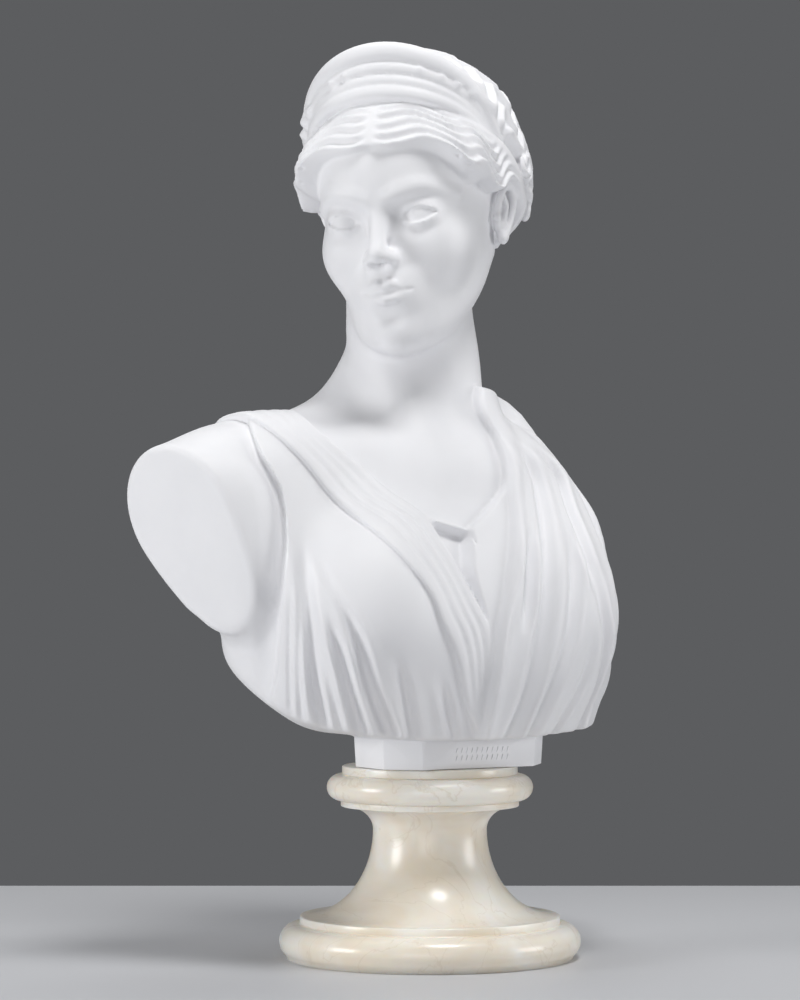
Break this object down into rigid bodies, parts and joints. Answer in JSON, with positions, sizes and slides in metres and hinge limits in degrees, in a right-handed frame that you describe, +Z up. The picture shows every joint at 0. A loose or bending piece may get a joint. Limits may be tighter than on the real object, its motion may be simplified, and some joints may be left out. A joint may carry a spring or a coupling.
{
  "type": "portrait bust",
  "caption": "White cast-marble bust of a classical goddess with a diadem and draped mantle, cast with its chamfered block, on a turned ivory alabaster socle",
  "frame": {"origin": "centre of the underside of the socle, on the surface it stands on", "axes": "+Z up through the socle; -Y is the front of the block and chest; +X is the figure's left"},
  "size_m": [0.3009, 0.1942, 0.5167],
  "materials": {
    "bust_marble": "matte",
    "socle_alabaster": "polished"
  },
  "bodies": {
    "root": {"bust": "bust_marble", "socle": "socle_alabaster"}
  },
  "joints": []
}
